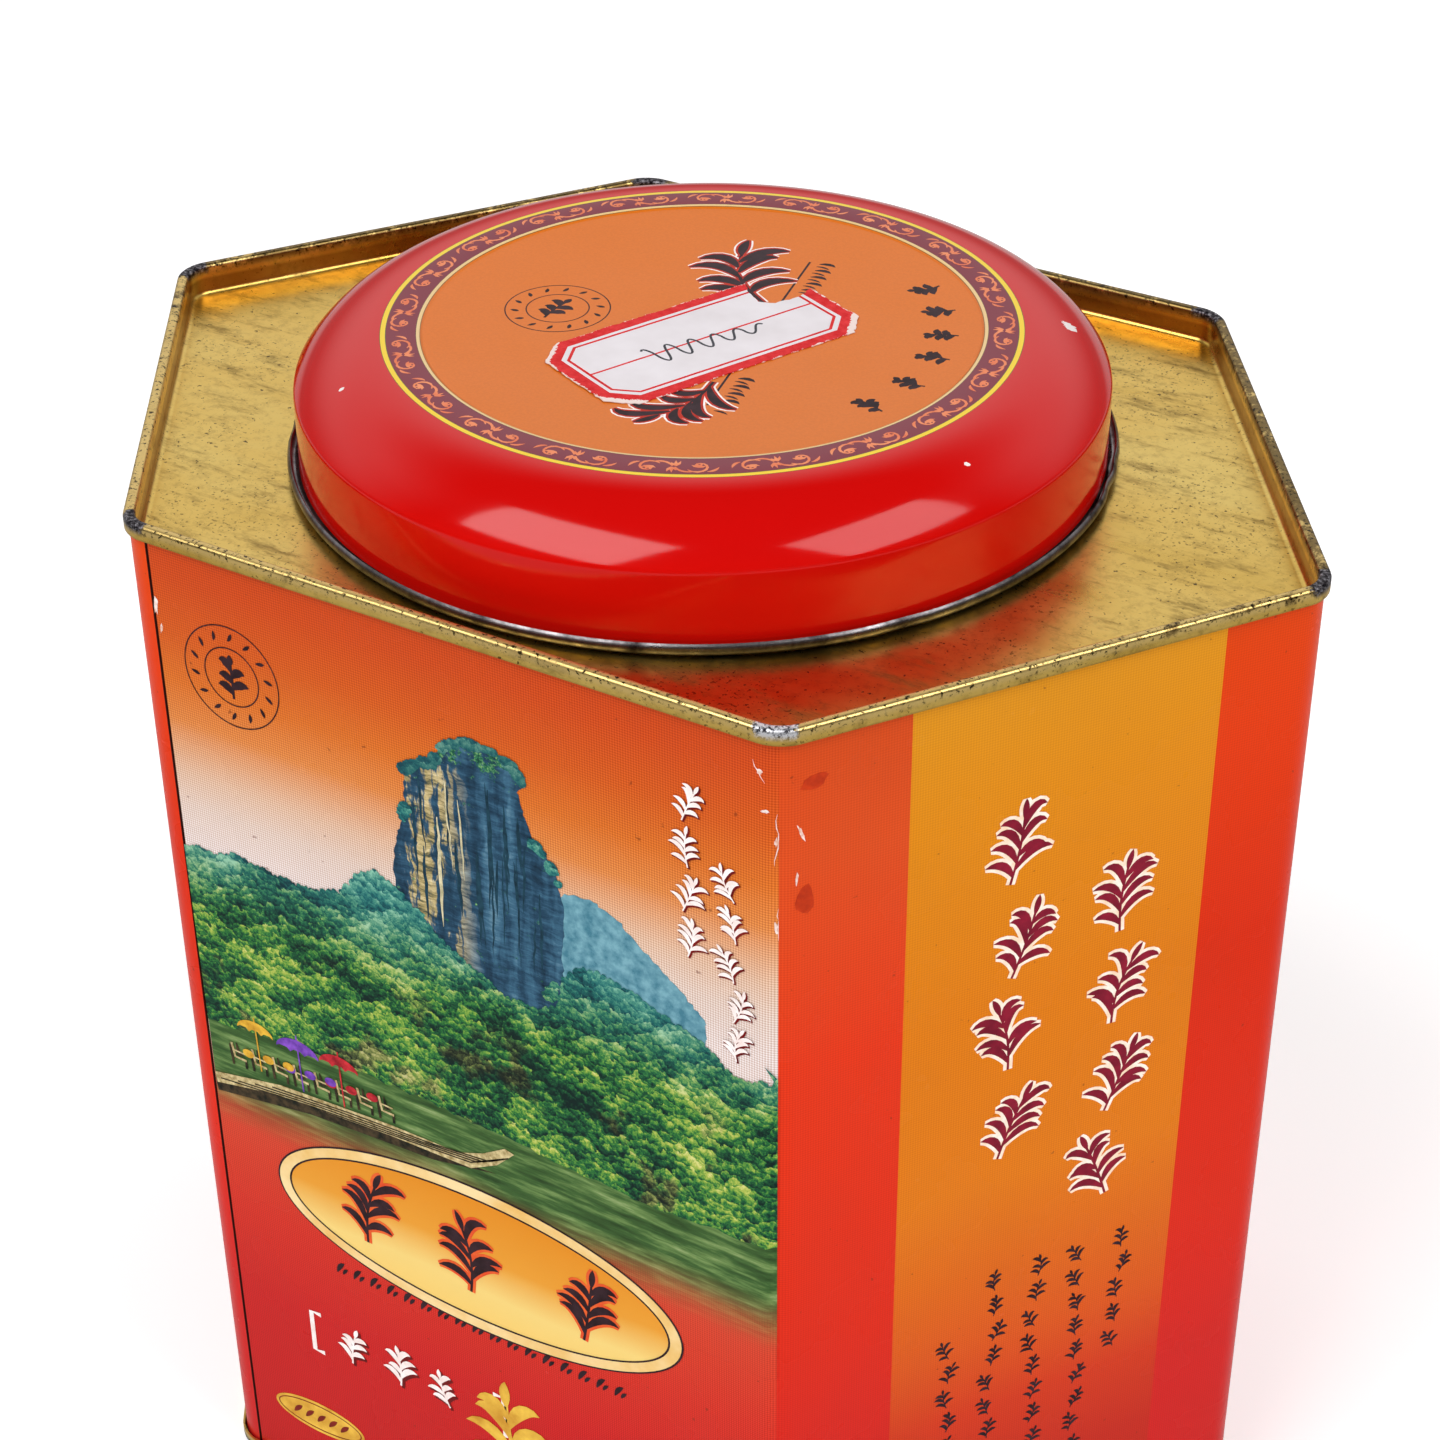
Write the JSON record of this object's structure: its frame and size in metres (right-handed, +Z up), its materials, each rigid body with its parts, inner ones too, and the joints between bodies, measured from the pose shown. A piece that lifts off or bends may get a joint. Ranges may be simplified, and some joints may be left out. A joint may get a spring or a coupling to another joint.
{
  "type": "lithographed tin caddy",
  "caption": "Hexagonal printed tinplate caddy with seamed end plates, a round rolled neck, a broad-shouldered slip lid, a plug lid and a paper label.",
  "frame": {"origin": "on the ground under the middle of the tin, the centre of the base seam's hexagon", "axes": "+Z up through the neck and lids, X along the wide sides towards the side corners, Y across the tin from wide side to wide side"},
  "size_m": [0.1702, 0.12, 0.171],
  "materials": {
    "printed_body": "satin printed varnish over tinplate",
    "gold_lacquer": "transparent gold lacquer over bright tinplate, scuffed",
    "bare_tinplate": "bare tinplate, dulled",
    "red_enamel": "glossy stoved enamel",
    "paper": "matt gummed paper"
  },
  "bodies": {
    "tin_body": {"body_shell": "printed_body", "top_plate": "gold_lacquer", "bottom_plate": "gold_lacquer", "neck_collar": "bare_tinplate"},
    "slip_lid": {"lid_shell": "red_enamel", "price_label": "paper"},
    "plug_lid": {"inner_lid": "gold_lacquer"}
  },
  "joints": [
    {"name": "lid_lift", "type": "slide", "parent": "tin_body", "child": "slip_lid", "axis": [0, 0, 1], "range_m": [0, 0.06]},
    {"name": "inner_lid_lift", "type": "slide", "parent": "tin_body", "child": "plug_lid", "axis": [0, 0, 1], "range_m": [0, 0.03]}
  ],
  "couplings": [
    {"joint": "inner_lid_lift", "follows": "lid_lift", "ratio": 0.5}
  ]
}
